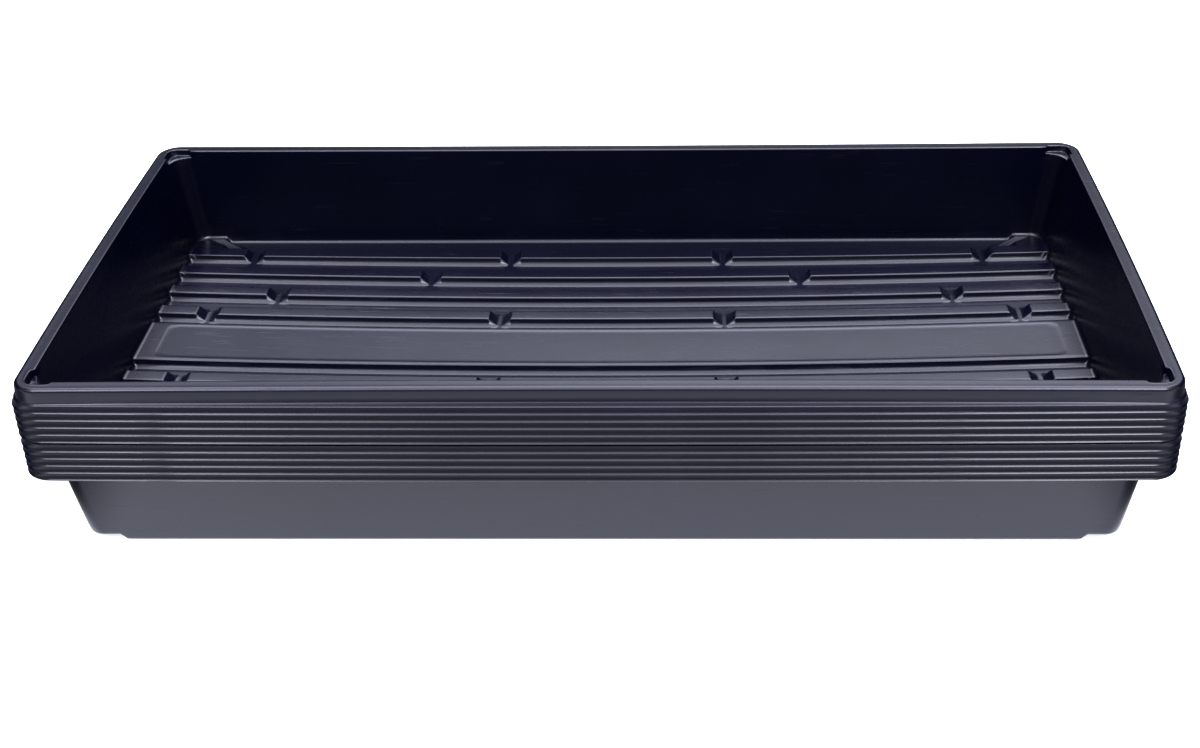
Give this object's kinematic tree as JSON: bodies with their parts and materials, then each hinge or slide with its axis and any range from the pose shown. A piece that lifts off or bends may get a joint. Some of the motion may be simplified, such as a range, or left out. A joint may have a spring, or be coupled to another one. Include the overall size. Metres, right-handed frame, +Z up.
{
  "type": "nested stack of seed-starting trays",
  "caption": "Nested stack of shallow rectangular seed-starting trays with rimmed ledges, tapered wells and ridged floors; each tray lifts off.",
  "frame": {"origin": "centre of the stack's footprint, on the ground", "axes": "+X along the trays' length, +Y across them, +Z up, the way the trays lift off"},
  "size_m": [0.5414, 0.2784, 0.0945],
  "materials": {
    "tray_plastic": "satin black thermoformed sheet"
  },
  "bodies": {
    "tray_01": {"tray_01": "tray_plastic"},
    "tray_02": {"tray_02": "tray_plastic"},
    "tray_03": {"tray_03": "tray_plastic"},
    "tray_04": {"tray_04": "tray_plastic"},
    "tray_05": {"tray_05": "tray_plastic"},
    "tray_06": {"tray_06": "tray_plastic"},
    "tray_07": {"tray_07": "tray_plastic"},
    "tray_08": {"tray_08": "tray_plastic"},
    "tray_09": {"tray_09": "tray_plastic"},
    "tray_10": {"tray_10": "tray_plastic"}
  },
  "joints": [
    {"name": "lift_02", "type": "slide", "parent": "tray_01", "child": "tray_02", "axis": [0, 0, 1], "range_m": [0, 0.07]},
    {"name": "lift_03", "type": "slide", "parent": "tray_02", "child": "tray_03", "axis": [0, 0, 1], "range_m": [0, 0.07]},
    {"name": "lift_04", "type": "slide", "parent": "tray_03", "child": "tray_04", "axis": [0, 0, 1], "range_m": [0, 0.07]},
    {"name": "lift_05", "type": "slide", "parent": "tray_04", "child": "tray_05", "axis": [0, 0, 1], "range_m": [0, 0.07]},
    {"name": "lift_06", "type": "slide", "parent": "tray_05", "child": "tray_06", "axis": [0, 0, 1], "range_m": [0, 0.07]},
    {"name": "lift_07", "type": "slide", "parent": "tray_06", "child": "tray_07", "axis": [0, 0, 1], "range_m": [0, 0.07]},
    {"name": "lift_08", "type": "slide", "parent": "tray_07", "child": "tray_08", "axis": [0, 0, 1], "range_m": [0, 0.07]},
    {"name": "lift_09", "type": "slide", "parent": "tray_08", "child": "tray_09", "axis": [0, 0, 1], "range_m": [0, 0.07]},
    {"name": "lift_10", "type": "slide", "parent": "tray_09", "child": "tray_10", "axis": [0, 0, 1], "range_m": [0, 0.07]}
  ]
}
